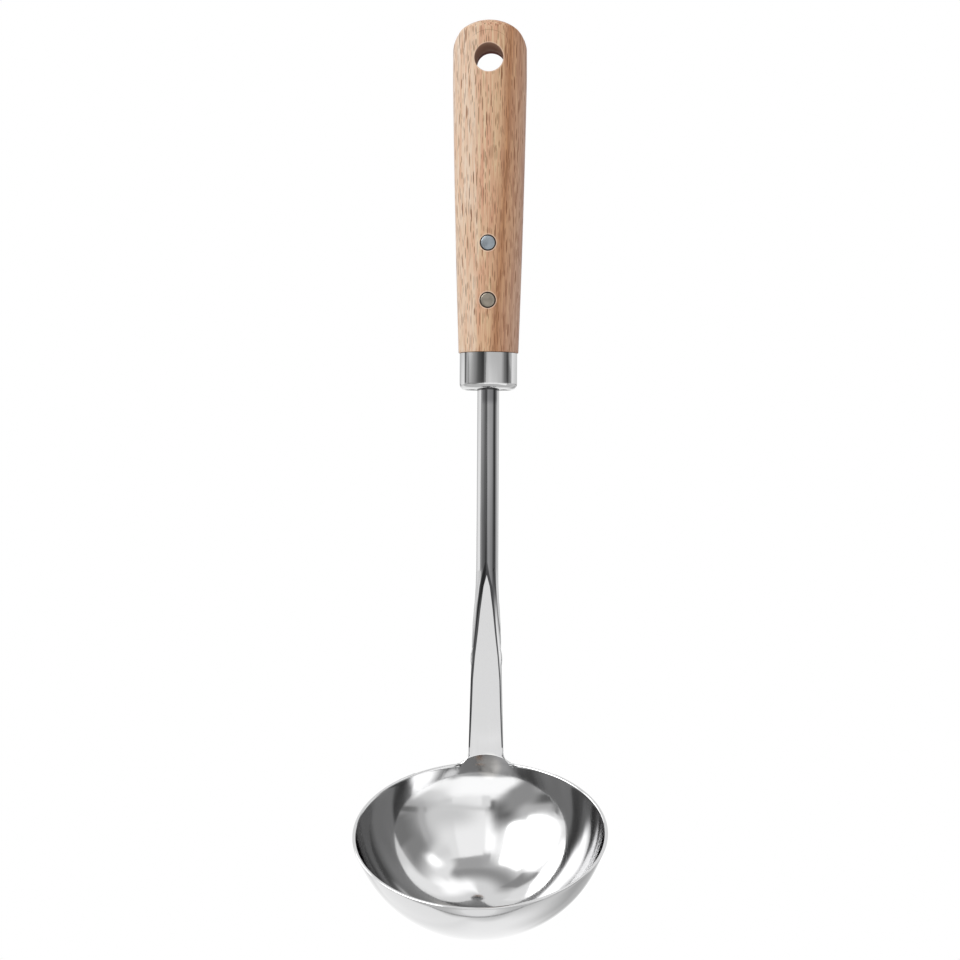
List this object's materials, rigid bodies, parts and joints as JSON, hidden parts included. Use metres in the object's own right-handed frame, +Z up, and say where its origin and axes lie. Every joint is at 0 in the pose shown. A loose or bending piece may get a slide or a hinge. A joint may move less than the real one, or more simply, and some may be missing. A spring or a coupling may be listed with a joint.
{
  "type": "soup ladle",
  "caption": "Soup ladle with a round polished bowl, a half-round shaft that flattens into a strap, and a riveted beech handle with a hanging hole and steel ferrule.",
  "frame": {"origin": "centre of the hanging hole, on the handle's own line", "axes": "+Z up along the handle and shaft, bowl forward towards -Y, +X to the right seen from the front; X = 0 is the plane of symmetry"},
  "size_m": [0.09, 0.091, 0.3326],
  "materials": {
    "head_steel": "stainless steel pressing, mirror polished with fine hairline marks",
    "beech": "sanded and lightly oiled steamed beech, grain along the handle",
    "ferrule_steel": "drawn stainless steel cup, mirror polished",
    "rivet_steel": "solid steel pin, ground flush with the wood, satin"
  },
  "bodies": {
    "root": {"ladle_head": "head_steel", "wooden_handle": "beech", "ferrule": "ferrule_steel", "upper_rivet": "rivet_steel", "lower_rivet": "rivet_steel"}
  },
  "joints": []
}
